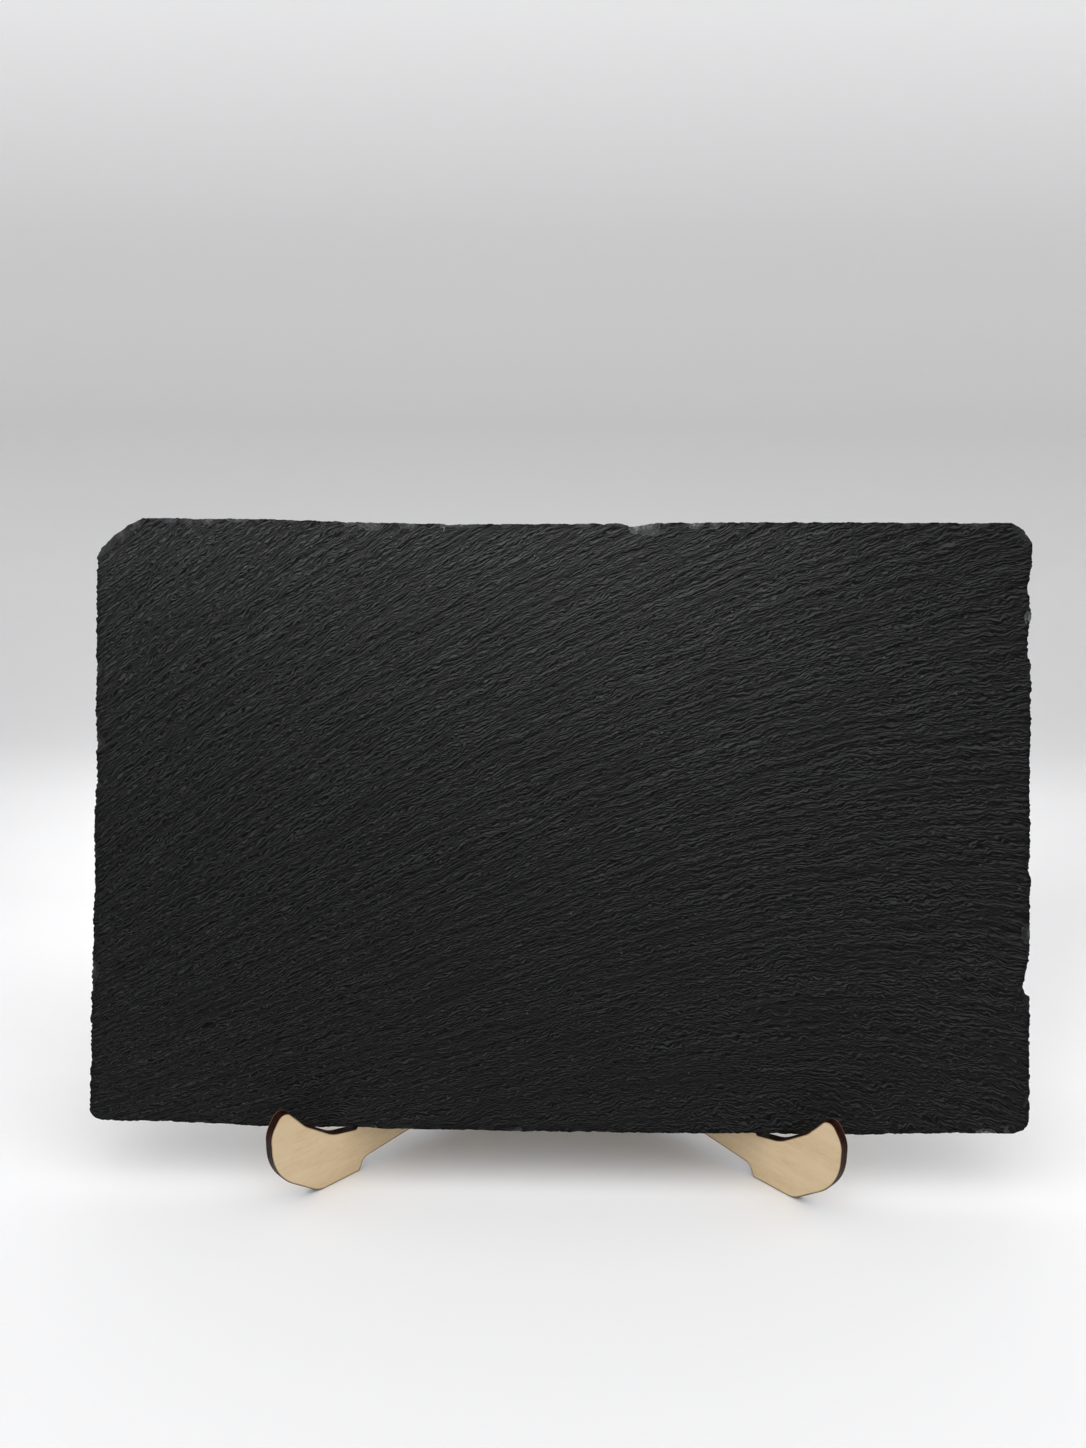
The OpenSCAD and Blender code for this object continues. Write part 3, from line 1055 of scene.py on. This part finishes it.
    def fray(self, edge: Edge, run: Array, out: float) -> None:
        """Nibbles an edge, less and less toward its ends.

        Args:
            edge: Which edge it is.
            run: Its points, which are moved.
            out: How far the edge lies outside its outline before it is nibbled.
        """
        _, along, inward = edge.ways
        spot = run @ along
        row = self.ragged_row * SIDES.index(edge)
        noise = GradientNoise(self.ragged_seed)
        bite = sum(depth * np.maximum(noise.at(spot / cell, row + cell), 0.0) for cell, depth in self.ragged)
        if edge is Edge.RIGHT:
            foot, step, full, head = self.notch
            bite = bite + self.notch_depth * smooth(spot, foot, step) * smooth(spot, head, full)
        first, last = spot[0], spot[-1]
        ends = smooth(spot, first, first + self.fray_end) * smooth(spot, last, last - self.fray_end)
        run += inward * ((bite - out) * ends)[:, None]

    @staticmethod
    def rim_distance(grid: Array) -> Array:
        """Measures how far each grid point lies from the rim along its grid lines."""
        ways = (grid[:1], grid[-1:], grid[:, :1], grid[:, -1:])
        return np.min([np.linalg.norm(grid - way, axis=2) for way in ways], axis=0)

    def chips(self) -> list[Chip]:
        """Lists the chips: those listed in the table, then small ones drawn along each edge.

        Returns:
            The chips.
        """
        draw = np.random.default_rng(self.small_chip_seed)
        found = [Chip(edge, *sizes) for edge, rows in self.CHIPS.items() for sizes in rows]
        pitch, margin, jitter = self.small_chip_pitch, self.small_chip_margin, self.small_chip_jitter
        for edge in SIDES:
            length = abs(float(edge.ways[1] @ self.box))
            for spot in np.arange(margin, length - margin, pitch):
                sizes = draw.uniform(self.small_chip_least, self.small_chip_most)
                spot = float(spot + draw.uniform(-jitter, jitter) * pitch)
                found.append(Chip(edge, spot, *sizes))
        return found

    def scoops(self, grid: Array) -> tuple[Array, ...]:
        """Works out what the chips take off the front face.

        Args:
            grid: Points of the front face.

        Returns:
            Depth taken off at each point, how far inside its nearest chip it lies, and how pale that chip is,
                as broken stone and partly as painted highlight.
        """
        points = grid.reshape(-1, 2)
        rim = np.concatenate([grid[0], grid[-1], grid[:, 0], grid[:, -1]])
        wavy = points + np.stack([swell.at(*points.T) for swell in self.chip_waver], axis=1)
        taken, fresh_and_glint = np.zeros((2, len(points)))
        best = np.full(len(points), self.chip_far)
        for chip in self.chips():
            share, along, inward = chip.edge.ways
            corner = share * self.box
            beside = rim[np.abs((rim - corner) @ along - chip.place) < self.chip_search]
            if len(beside) == 0:
                continue
            away = wavy - beside[np.argmin((beside - corner) @ inward)]
            q = (away @ along / chip.half) ** 2 + (away @ inward / chip.reach) ** 2
            taken = np.maximum(taken, chip.depth * np.clip(1.0 - q, 0.0, 1.0) ** self.chip_round)
            inside = 1.0 - np.sqrt(q)
            fresh_and_glint = np.where(inside > best, chip.fresh_and_glint, fresh_and_glint)
            best = np.maximum(best, inside)
        return tuple(part.reshape(grid.shape[:2]) for part in (taken, best, fresh_and_glint))

    def front_face(self, grid: Array) -> tuple[Array, Array, dict[str, Array]]:
        """Shapes the front face.

        Args:
            grid: Its points along and up the slate.

        Returns:
            Its points with height, the places along and across the ripples, and the weights for its finish.
        """
        s, t = grid[..., 0], grid[..., 1]
        along, across = self.cleavage.lines(s, t)
        taken, chip, fresh_and_glint = self.scoops(grid)
        rim = self.rim_distance(grid)
        depth = np.maximum(self.face_depth - self.cleavage.relief(along, across), self.face_skin)
        depth = depth + taken + self.wear * np.exp(-rim / self.wear_reach)
        height = np.maximum(self.thick - depth, self.thick * self.least_share)
        foot, left = smooth(t, self.foot_h, 0.0), smooth(s, self.curl_start, 0.0)
        weights = {
            "chip": chip,
            "fresh_and_glint": fresh_and_glint,
            # The arris weight carries the painted rim shade and a rougher rim.
            "arris": np.exp(-rim / self.arris_reach),
            "curl": np.maximum(self.foot_curl * foot, left),
            "calm": foot * (1.0 - self.left_lively * left),
        }
        return np.dstack([grid, height]), np.dstack([along, across]), weights

    def back_face(self, grid: Array) -> tuple[Array, Array]:
        """Shapes the back face, flat where the pads stick.

        Args:
            grid: Its points along and up the slate.

        Returns:
            Its points with height, and the places along and across the ripples.
        """
        s, t = grid[..., 0], grid[..., 1]
        flow = np.dstack(self.cleavage.lines(self.box[0] - s, t)) + np.array(self.back_shift)
        relief = self.cleavage.relief(flow[..., 0], flow[..., 1])
        depth = np.maximum(self.back_depth - self.back_share * relief, self.back_skin)
        for node in FootPads.NODES:
            centre = self.sheet.local(cad_points(node)).mean(axis=0)
            away = np.hypot(s - centre[0], t - centre[1])
            depth = depth * smooth(away, self.pad_flat, self.pad_flat * self.pad_fade)
        return np.dstack([grid, depth]), flow

    def wall(self, front_rim: Array, back_rim: Array) -> Array:
        """Shapes the broken edge between the two rims, in thin uneven layers.

        Args:
            front_rim: Rim of the front face.
            back_rim: Rim of the back face, with as many points.

        Returns:
            Rings (ring, point, 3) between the rims, without them.
        """
        centre = self.box / 2.0
        inward = centre - back_rim[:, :2]
        inward = np.sign(inward) * (np.abs(inward) > centre - self.rim_band)
        inward /= np.maximum(np.linalg.norm(inward, axis=1, keepdims=True), 1.0)
        run = run_along(back_rim)
        rings = []
        for ring in range(1, self.wall_rings):
            share = ring / self.wall_rings
            spot = front_rim * (1.0 - share) + back_rim * share
            layer = GradientNoise(self.layer_seed + ring // 2).at(run / self.layer_cell, 0.0)
            rough = GradientNoise(self.rough_seed + ring).at(run / self.rough_cell, 0.0)
            bite = np.clip(0.5 + 0.5 * layer + self.rough_share * rough, 0.0, self.flake_most)
            spot[:, :2] += inward * (self.flake * bite * math.sin(math.pi * share))[:, None]
            rings.append(spot)
        return np.array(rings)

    def boxed(self, points: Array) -> Array:
        """Turns points in the slab's axes into the shared frame, held inside the CAD model's box."""
        low, high = (np.array(corner) / MM for corner in CAD_BOX)
        return np.clip(self.sheet.world(points), low, high)

    @staticmethod
    def rim_of(number: Array) -> Array:
        """Lists a grid's rim counter-clockwise from its low left corner."""
        return np.concatenate([number[0, :-1], number[:-1, -1], number[-1, :0:-1], number[:0:-1, 0]])

    @staticmethod
    def grid_faces(number: Array) -> Faces:
        """Lists the faces of a grid of vertex numbers."""
        corners = (number[:-1, :-1], number[:-1, 1:], number[1:, 1:], number[1:, :-1])
        return [tuple(face) for face in np.stack([c.ravel() for c in corners], axis=1).tolist()]

    @staticmethod
    def halving_strip(fine: Array, coarse: Array) -> Faces:
        """Lists the faces between a ring and one with half as many vertices.

        Args:
            fine: Vertex numbers of the ring.
            coarse: Vertex numbers of the other ring.

        Returns:
            Vertex numbers of each face.
        """
        rows = np.stack([fine[::2], fine[1::2], np.roll(fine[::2], -1), coarse, np.roll(coarse, -1)], axis=1)
        faces: Faces = []
        for here, middle, there, low, low_next in rows.tolist():
            faces += [(here, low, middle), (middle, low, low_next, there)]
        return faces

    def serrate(self, piece: Piece, rim: Array) -> None:
        """Cuts the front rim finer and breaks it into small teeth.

        Args:
            piece: The slab.
            rim: Numbers of its rim vertices in order.
        """
        work = bmesh.new()
        work.from_mesh(piece.data)
        work.verts.ensure_lookup_table()
        corners = [work.verts[int(v)] for v in rim]
        sides = [work.edges.get(pair) for pair in zip(corners, corners[1:] + corners[:1])]
        before = len(work.verts)
        bmesh.ops.bisect_edges(work, edges=sides, cuts=self.tooth_cuts)
        bmesh.ops.triangulate(work, faces=[face for face in work.faces if len(face.verts) > 4])
        work.verts.index_update()
        work.verts.ensure_lookup_table()
        verts = [work.verts[int(v)] for v in rim] + list(work.verts)[before:]
        spots = self.sheet.local(np.array([v.co for v in verts], float) / MM)
        way = spots[:, :2] / self.box - 0.5
        upright = np.abs(way[:, 0]) > np.abs(way[:, 1])
        pick, side = np.arange(len(spots)), np.where(upright, 0, 1)
        outward = np.sign(way[pick, side])
        run = spots[pick, 1 - side]
        row = (np.where(upright, *self.tooth_rows) + outward) * self.tooth_row_gap
        noise = GradientNoise(self.tooth_seed)
        bite = np.zeros(len(spots))
        for cell, depth in self.teeth:
            bite += depth * np.tanh(self.tooth_steep * noise.at(run / cell, row + cell))
        spots[pick, side] -= bite * np.where(upright, self.tooth_side, self.tooth_top) * outward
        for vert, spot in zip(verts, self.boxed(spots) * MM):
            vert.co = spot
        work.to_mesh(piece.data)
        work.free()

    def build(self) -> None:
        """Builds the slab and puts it on its body."""
        across, up = (self.shares(length) for length in self.box)
        front, front_flow, weights = self.front_face(self.grid(self.front, across, up, 1.0))
        back, back_flow = self.back_face(self.grid(self.back, across[::2], up[::2], 0.0))
        fine_back, _ = self.back_face(self.grid(self.back, across, up, 0.0))
        number = np.arange(len(up) * len(across)).reshape(len(up), len(across))
        rim = self.rim_of(number)
        rings = self.wall(front.reshape(-1, 3)[rim], fine_back.reshape(-1, 3)[rim])
        count = len(rim)
        chain = [rim] + [number.size + count * k + np.arange(count) for k in range(len(rings))]
        back_number = np.arange(back[..., 0].size).reshape(back.shape[:2]) + number.size + count * len(rings)
        faces = self.grid_faces(number) + self.grid_faces(back_number[::-1])
        for upper, lower in zip(chain, chain[1:]):
            faces += strip(upper, lower)
        faces += self.halving_strip(chain[-1], self.rim_of(back_number))
        points = np.concatenate([part.reshape(-1, 3) for part in (front, rings, back)])
        piece = make_object("slate_slab", self.boxed(points), faces)
        ring_run = np.tile(np.arange(count) * self.cell, len(rings))
        ring_flow = np.stack([ring_run, rings[..., 2].ravel() * self.wall_stretch], axis=1)
        flows = [part.reshape(-1, 2) for part in (front_flow, ring_flow, back_flow)]
        set_uv(piece, "flow", np.concatenate(flows))
        self.dress(piece, weights, rim, back_number.size)
        self.serrate(piece, rim)
        place(piece, self.sharp, "slate", self.node, "slate")

    def dress(self, piece: Piece, weights: dict[str, Array], rim: Array, back_count: int) -> None:
        """Gives the slab its stone, and fades the weights of the front face out over the broken edge.

        Args:
            piece: The slab.
            weights: Weights of the front face.
            rim: Numbers of the front rim's vertices.
            back_count: Number of vertices on the back face.
        """
        fade = (1.0 - np.arange(1, self.wall_rings)[:, None] / self.wall_rings) ** self.edge_fade
        for name, weight in weights.items():
            least = weight.min()
            edge = least + fade * (weight.ravel()[rim] - least)
            plain = np.full(back_count, least)
            set_weight(piece, name, np.concatenate([weight.ravel(), edge.ravel(), plain]))
        piece.data.materials.append(RivenStone().material())


@dataclass
class EaselLeg:
    """One leg of the easel: a plywood cut-out with eased arrises, glue lines and burnt edges.

    `scorch` is how far the faces are scorched, with a weight of `scorch_mid` half way, and `scorch_back` at
    the arris of the back. `bare` is how pale that arris is, over `bare_reach` times its width.
    """

    node: str
    arris: float = 0.14
    scorch: float = 0.6
    scorch_mid: float = 0.75
    scorch_back: float = 0.9
    bare: float = 0.8
    bare_reach: float = 2.5
    groove: float = 0.035
    groove_w: float = 0.06
    plies: int = 3
    sharp: float = 38.0

    @staticmethod
    def inset(loop: Array, depth: float) -> Array:
        """Moves an outline inward.

        Args:
            loop: Outline, counter-clockwise.
            depth: How far.

        Returns:
            The moved outline.
        """
        ahead = np.roll(loop, -1, axis=0) - loop
        ahead /= np.linalg.norm(ahead, axis=1, keepdims=True)
        inward = np.stack([-ahead[:, 1], ahead[:, 0]], axis=1)
        before = np.roll(inward, 1, axis=0)
        both = inward + before
        return loop + depth * both / (1.0 + np.sum(inward * before, axis=1, keepdims=True))

    def levels(self, thick: float) -> list[tuple[float, ...]]:
        """Lists the rings of the leg from its front to its back.

        Args:
            thick: Thickness of the sheet.

        Returns:
            Height, inset, scorch and bareness of each ring.
        """
        rings = [(thick, self.scorch, 0.0, 0.0), (thick, self.scorch / 2.0, self.scorch_mid, 0.0)]
        rings += [(thick, self.arris, 1.0, 0.0), (thick - self.arris, 0.0, 1.0, 0.0)]
        for ply in range(self.plies - 1, 0, -1):
            glue = thick * ply / self.plies
            for rise, inset in ((self.groove_w, 0.0), (0.0, self.groove), (-self.groove_w, 0.0)):
                rings.append((glue + rise, inset, 1.0, 0.0))
        rings += [(self.arris * self.bare_reach, 0.0, 1.0, 0.0), (self.arris, 0.0, 1.0, self.bare)]
        return rings + [(0.0, self.arris, self.scorch_back, self.bare), (0.0, self.scorch, 0.0, 0.0)]

    def build(self) -> None:
        """Builds the leg and puts it on its body."""
        sheet = Sheet.of(self.node)
        thick = float(sheet.size[2])
        loop = face_outline(self.node, sheet, thick)
        count = len(loop)
        levels = self.levels(thick)
        flat = np.concatenate([self.inset(loop, inset) for _, inset, _, _ in levels])
        points = np.column_stack([flat, np.repeat([level[0] for level in levels], count)])
        number = np.arange(len(points)).reshape(len(levels), count)
        faces = [tuple(number[0].tolist()), tuple(number[-1, ::-1].tolist())]
        for upper, lower in zip(number, number[1:]):
            faces += strip(upper, lower)
        piece = make_object(self.node + "_plywood", sheet.world(points), faces)
        self.dress(piece, points, run_along(loop), levels)
        place(piece, self.sharp, self.node, self.node, "plywood")

    def dress(self, piece: Piece, points: Array, cut: Array, levels: list[tuple[float, ...]]) -> None:
        """Gives the faces their veneer and the cut its burnt edge.

        Args:
            piece: The leg.
            points: Its vertices in the sheet's axes.
            cut: Distance along the cut of each outline point.
            levels: Height, inset, scorch and bareness of each ring.
        """
        mesh = piece.data
        count = len(cut)
        _, _, scorch, bare = np.array(levels).T
        set_weight(piece, "scorch", np.repeat(scorch, count))
        set_weight(piece, "bare", np.repeat(bare, count))
        mesh.materials.append(BirchVeneer().material())
        mesh.materials.append(BurntEdge().material())
        uv = mesh.uv_layers.new(name="sheet")
        last_ring = len(levels) - 2
        for polygon in mesh.polygons:
            ring = (polygon.index - 2) // count
            burnt = polygon.index >= 2 and 1 < ring < last_ring
            polygon.material_index = int(burnt)
            for corner in polygon.loop_indices:
                vertex = mesh.loops[corner].vertex_index
                spot = (cut[vertex % count], points[vertex, 2]) if burnt else points[vertex, :2]
                uv.data[corner].uv = (spot[0] / UV_MM, spot[1] / UV_MM)


@dataclass
class FootPads:
    """The four stick-on pads: turned rubber buttons on a thin adhesive foot.

    `flat_share` and `dish_share` are shares of the button's radius, and `foot_share` one of the foot's.
    """

    NODES = ("pad_top_left", "pad_top_right", "pad_bottom_left", "pad_bottom_right")
    segments: int = 56
    glue_h: float = 0.25
    glue_out: float = 0.35
    glue_rise: float = 0.05
    foot_share: float = 0.6
    edge_r: float = 0.7
    edge_steps: int = 6
    flat_share: float = 0.72
    dish_share: float = 0.45
    dish: float = 0.12
    sharp: float = 50.0

    def profile(self, radius: float, height: float) -> list[Pair]:
        """Gives the pad's section from its axis at the slate to its axis at the free face.

        Args:
            radius: Radius of the pad.
            height: Height of the pad.

        Returns:
            Radius and height of each point.
        """
        body, bowl = radius - self.glue_out, height - self.dish
        points = [(0.0, 0.0), (radius * self.foot_share, 0.0), (radius, 0.0), (radius, self.glue_h)]
        points.append((body, self.glue_h + self.glue_rise))
        for turn in np.linspace(0.0, math.pi / 2.0, self.edge_steps + 1):
            side, top = self.edge_r * (1 - math.cos(turn)), self.edge_r * (1 - math.sin(turn))
            points.append((body - side, height - top))
        return points + [(body * self.flat_share, height), (body * self.dish_share, bowl), (0.0, bowl)]

    def turned(self, section: list[Pair]) -> tuple[Array, Faces]:
        """Turns a section about the pad's axis, away from the slate's back.

        Args:
            section: Radius and height of its points, from axis to axis.

        Returns:
            Points and faces.
        """
        n = self.segments
        angles = np.arange(n) * 2.0 * math.pi / n
        points = [(0.0, 0.0, -section[0][1])]
        for radius, height in section[1:-1]:
            points += [(radius * math.cos(a), radius * math.sin(a), -height) for a in angles]
        points.append((0.0, 0.0, -section[-1][1]))
        last = len(points) - 1
        rings = np.arange(1, last).reshape(-1, n)
        faces: Faces = []
        for i in range(n):
            j = (i + 1) % n
            faces += [(0, 1 + i, 1 + j), (last, last - n + j, last - n + i)]
        for upper, lower in zip(rings, rings[1:]):
            faces += strip(upper, lower)
        return np.array(points), faces

    def build(self) -> None:
        """Builds the pads and puts them on the slate's body."""
        rubber = SoftRubber().material()
        slab = Sheet.of("slate")
        for node in self.NODES:
            local = slab.local(cad_points(node))
            low, high = local.min(axis=0), local.max(axis=0)
            section = self.profile(float(high[0] - low[0]) / 2.0, float(high[2] - low[2]))
            points, faces = self.turned(section)
            points[:, :2] += (low[:2] + high[:2]) / 2.0
            piece = make_object(node + "_rubber", slab.world(points), faces)
            piece.data.materials.append(rubber)
            place(piece, self.sharp, "slate", node, "pad")


@dataclass(frozen=True)
class Softbox:
    """Soft panel light: where it hangs, what it points at, its size, its watts and its beam in degrees."""

    name: str
    spot: Colour
    aim: Colour
    size: Pair
    power: float
    beam: float

    def hang(self) -> None:
        """Makes the light."""
        data = bpy.data.lights.new(self.name, "AREA")
        data.shape = "RECTANGLE"
        data.size, data.size_y = self.size
        data.energy = self.power
        data.spread = math.radians(self.beam)
        lamp = bpy.data.objects.new(self.name, data)
        lamp.location = self.spot
        lamp.rotation_euler = (Vector(self.aim) - Vector(self.spot)).to_track_quat("-Z", "Y").to_euler()
        lamp.visible_camera = False
        bpy.context.scene.collection.objects.link(lamp)


@dataclass
class Studio:
    """Paper sweep, lights and camera. Lengths here are metres.

    The fill is a pale dome, dim at the horizon and bright overhead: `fill` gives its strength at the
    horizon and overhead, and `fill_rise` the sines of the heights between which it brightens.
    """

    SOFTBOXES = (
        Softbox("top_softbox", (-0.15, -0.13, 0.42), (-0.11, 0.06, 0.235), (0.41, 0.12), 0.35, 50.0),
        Softbox("side_softbox", (0.34, 0.45, 0.45), (0.27, 0.24, 0.0), (0.25, 0.25), 0.045, 60.0),
        Softbox("backdrop_softbox", (0.0, 0.30, 1.25), (0.0, 0.84, 0.80), (2.4, 0.3), 2.6, 70.0),
    )
    fill: Pair = (0.16, 1.48)
    fill_rise: Pair = (0.1, 0.8)

    half_width: float = 2.6
    front: float = -2.4
    bend_start: float = 0.50
    bend_r: float = 0.34
    wall_top: float = 1.9
    bend_steps: int = 24

    image: tuple[int, int] = (1086, 1448)
    focal_px: float = 1366.8
    eye: Colour = (0.00335, -0.4271, 0.26707)
    pitch: float = 16.309
    yaw: float = -1.188
    roll: float = 0.192
    sensor: float = 36.0

    def sweep(self) -> None:
        """Builds the paper: a flat floor that bends up into a wall behind."""
        section = [(self.front, 0.0)]
        for turn in np.linspace(0.0, math.pi / 2.0, self.bend_steps + 1):
            rise = self.bend_r * (1.0 - math.cos(turn))
            section.append((self.bend_start + self.bend_r * math.sin(turn), rise))
        section.append((self.bend_start + self.bend_r, self.wall_top))
        points = np.array([(x, y, z) for y, z in section for x in (-self.half_width, self.half_width)]) / MM
        faces = [(2 * k, 2 * k + 1, 2 * k + 3, 2 * k + 2) for k in range(len(section) - 1)]
        paper = make_object("studio_sweep", points, faces)
        run = np.repeat(run_along(np.array(section)), 2) / MM
        set_uv(paper, "roll", np.column_stack([points[:, 0], run]))
        paper.data.materials.append(PaperSweep().material())

    def lights(self) -> None:
        """Hangs the softboxes, and sets the fill and the plain view of colours."""
        for softbox in self.SOFTBOXES:
            softbox.hang()
        world = bpy.data.worlds.new("studio_fill")
        world.use_nodes = True
        tree = world.node_tree
        toward = tree.nodes.new("ShaderNodeTexCoord")
        parts = tree.nodes.new("ShaderNodeSeparateXYZ")
        rise = tree.nodes.new("ShaderNodeMapRange")
        tree.links.new(toward.outputs["Generated"], parts.inputs["Vector"])
        tree.links.new(parts.outputs["Z"], rise.inputs["Value"])
        tree.links.new(rise.outputs["Result"], tree.nodes["Background"].inputs["Strength"])
        tree.nodes["Background"].inputs["Color"].default_value = (1.0, 1.0, 1.0, 1.0)
        for name, value in zip(("From Min", "From Max", "To Min", "To Max"), self.fill_rise + self.fill):
            rise.inputs[name].default_value = value
        bpy.context.scene.world = world
        bpy.context.scene.view_settings.view_transform = "Standard"

    def camera(self) -> None:
        """Places the camera at the photograph's viewpoint."""
        pitch, yaw, roll = (math.radians(a) for a in (self.pitch, self.yaw, self.roll))
        ahead = Vector((math.sin(yaw) * math.cos(pitch), math.cos(yaw) * math.cos(pitch), -math.sin(pitch)))
        right = Vector((math.cos(yaw), -math.sin(yaw), 0.0))
        up = right.cross(ahead)
        across = right * math.cos(roll) + up * math.sin(roll)
        upward = up * math.cos(roll) - right * math.sin(roll)
        data = bpy.data.cameras.new("studio_camera")
        data.sensor_width = self.sensor
        data.lens = self.focal_px / max(self.image) * self.sensor
        camera = bpy.data.objects.new("studio_camera", data)
        turn = Matrix((across, upward, -ahead)).transposed()
        camera.matrix_world = Matrix.Translation(self.eye) @ turn.to_4x4()
        bpy.context.scene.collection.objects.link(camera)
        bpy.context.scene.camera = camera

    def build(self) -> None:
        """Sets the stage, the lights and the camera."""
        self.sweep()
        self.lights()
        self.camera()


def main() -> None:
    """Builds the stage and the pieces in order."""
    logging.basicConfig(level=logging.INFO, format="%(name)s: %(message)s")
    Studio().build()
    Slate().build()
    for node in ("left_leg", "right_leg"):
        EaselLeg(node).build()
    FootPads().build()


if __name__ == "__main__":
    main()
